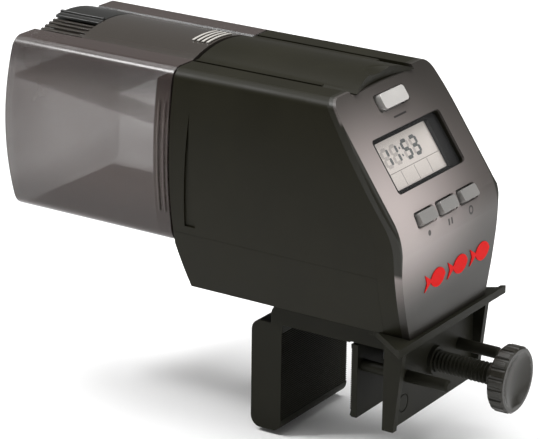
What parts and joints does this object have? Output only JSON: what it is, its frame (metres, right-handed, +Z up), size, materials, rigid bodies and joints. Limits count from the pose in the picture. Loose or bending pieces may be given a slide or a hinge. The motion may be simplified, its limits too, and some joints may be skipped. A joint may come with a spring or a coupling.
{
  "type": "automatic fish feeder",
  "caption": "Battery powered automatic fish feeder with a turning smoke food hopper, a slanted control panel with a display, and a screw clamp for the tank's rim.",
  "frame": {"origin": "middle of the flat rim seat under the saddle, halfway between the two jaws as drawn", "axes": "+X to the control panel and the user, the hopper is at -X over the water; +Z up; +Y is the side with the battery cover"},
  "size_m": [0.1929, 0.075, 0.1338],
  "materials": {
    "smoke_plastic": "polished, translucent smoke tint",
    "body_black": "satin with a fine moulded texture",
    "gate_black": "satin",
    "panel_grey": "satin graphite",
    "emblem_red": "printed gloss",
    "lcd_clear": "clear",
    "bezel_black": "satin",
    "lcd_grey": "smooth",
    "button_silver": "satin silver",
    "board_green": "solder mask",
    "chip_black": "matt",
    "capacitor_blue": "sleeve",
    "reed_green": "smooth",
    "white_plastic": "natural acetal",
    "steel": "zinc plated",
    "motor_steel": "plated",
    "magnet_nickel": "nickel plated",
    "brass": "machined",
    "cell_wrap": "printed film",
    "clamp_black": "satin"
  },
  "bodies": {
    "housing": {"housing_main": "body_black", "bottom_cover": "body_black", "front_ring": "body_black", "control_panel": "panel_grey", "panel_emblem": "emblem_red", "lcd_window": "lcd_clear", "lcd_bezel": "bezel_black", "lcd_glass": "lcd_grey", "lcd_holder": "white_plastic", "main_pcb": "board_green", "tact_switches": "chip_black", "control_chip": "chip_black", "capacitors": "capacitor_blue", "pcb_screws": "steel", "shaft_bush": "white_plastic", "reed_switch": "reed_green", "gear_pins": "steel", "gear_plate": "chip_black", "plate_screws": "steel", "motor_can": "motor_steel", "motor_cap": "white_plastic", "motor_screws": "steel", "battery_holder": "chip_black", "battery_cells": "cell_wrap", "battery_springs": "steel", "contact_plates": "steel", "housing_screws": "steel", "saddle_screws": "steel", "clamp_bracket": "clamp_black"},
    "drive": {"drive_shaft": "steel", "drive_coupler": "white_plastic", "output_gear": "white_plastic", "home_magnet": "magnet_nickel"},
    "hopper": {"hopper_shell": "smoke_plastic", "hopper_hub": "body_black", "food_guide": "smoke_plastic"},
    "lid": {"hopper_lid": "smoke_plastic"},
    "gate": {"dosing_gate": "gate_black"},
    "idler_b": {"idler_gear_b": "white_plastic"},
    "idler_a": {"idler_gear_a": "white_plastic"},
    "motor_rotor": {"motor_pinion": "brass", "motor_shaft": "steel"},
    "feed_key": {"feed_button": "button_silver"},
    "left_key": {"set_button_left": "button_silver"},
    "middle_key": {"set_button_middle": "button_silver"},
    "right_key": {"set_button_right": "button_silver"},
    "bay_cover": {"battery_cover": "body_black"},
    "jaw": {"movable_jaw": "clamp_black", "guide_pins": "clamp_black"},
    "screw": {"clamp_screw": "clamp_black", "clamp_knob": "clamp_black", "screw_retainer": "steel"}
  },
  "joints": [
    {"name": "drum_spin", "type": "hinge", "parent": "housing", "child": "drive", "pos_m": [0, 0, 0.057], "axis": [1, 0, 0], "continuous": true},
    {"name": "idler_b_spin", "type": "hinge", "parent": "housing", "child": "idler_b", "pos_m": [0, -0.00513, 0.0711], "axis": [1, 0, 0], "continuous": true},
    {"name": "idler_a_spin", "type": "hinge", "parent": "housing", "child": "idler_a", "pos_m": [0, -0.01537, 0.06393], "axis": [1, 0, 0], "continuous": true},
    {"name": "motor_spin", "type": "hinge", "parent": "housing", "child": "motor_rotor", "pos_m": [0, -0.01537, 0.05143], "axis": [1, 0, 0], "continuous": true},
    {"name": "hopper_pull", "type": "slide", "parent": "drive", "child": "hopper", "axis": [-1, 0, 0], "range_m": [0, 0.02]},
    {"name": "lid_slide", "type": "slide", "parent": "hopper", "child": "lid", "axis": [-1, 0, 0], "range_m": [0, 0.045]},
    {"name": "gate_turn", "type": "hinge", "parent": "lid", "child": "gate", "pos_m": [0, 0, 0.042], "axis": [1, 0, 0], "range_deg": [0, 8]},
    {"name": "feed_press", "type": "slide", "parent": "housing", "child": "feed_key", "axis": [-0.8251, 0, -0.565], "range_m": [0, 0.0008], "stiffness_N_per_m": 400},
    {"name": "left_press", "type": "slide", "parent": "housing", "child": "left_key", "axis": [-0.8251, 0, -0.565], "range_m": [0, 0.0008], "stiffness_N_per_m": 400},
    {"name": "middle_press", "type": "slide", "parent": "housing", "child": "middle_key", "axis": [-0.8251, 0, -0.565], "range_m": [0, 0.0008], "stiffness_N_per_m": 400},
    {"name": "right_press", "type": "slide", "parent": "housing", "child": "right_key", "axis": [-0.8251, 0, -0.565], "range_m": [0, 0.0008], "stiffness_N_per_m": 400},
    {"name": "battery_cover_pull", "type": "slide", "parent": "housing", "child": "bay_cover", "axis": [0, 1, 0], "range_m": [0, 0.025]},
    {"name": "jaw_slide", "type": "slide", "parent": "housing", "child": "jaw", "axis": [-1, 0, 0], "range_m": [-0.0095, 0.021]},
    {"name": "screw_turn", "type": "hinge", "parent": "jaw", "child": "screw", "pos_m": [0.0141, 0, -0.009], "axis": [-1, 0, 0], "range_deg": [-2290, 5050]}
  ],
  "couplings": [
    {"joint": "idler_b_spin", "follows": "drum_spin", "ratio": -5},
    {"joint": "idler_a_spin", "follows": "drum_spin", "ratio": 20},
    {"joint": "motor_spin", "follows": "drum_spin", "ratio": -80},
    {"joint": "screw_turn", "follows": "jaw_slide", "rad_per_m": 4188.8}
  ]
}
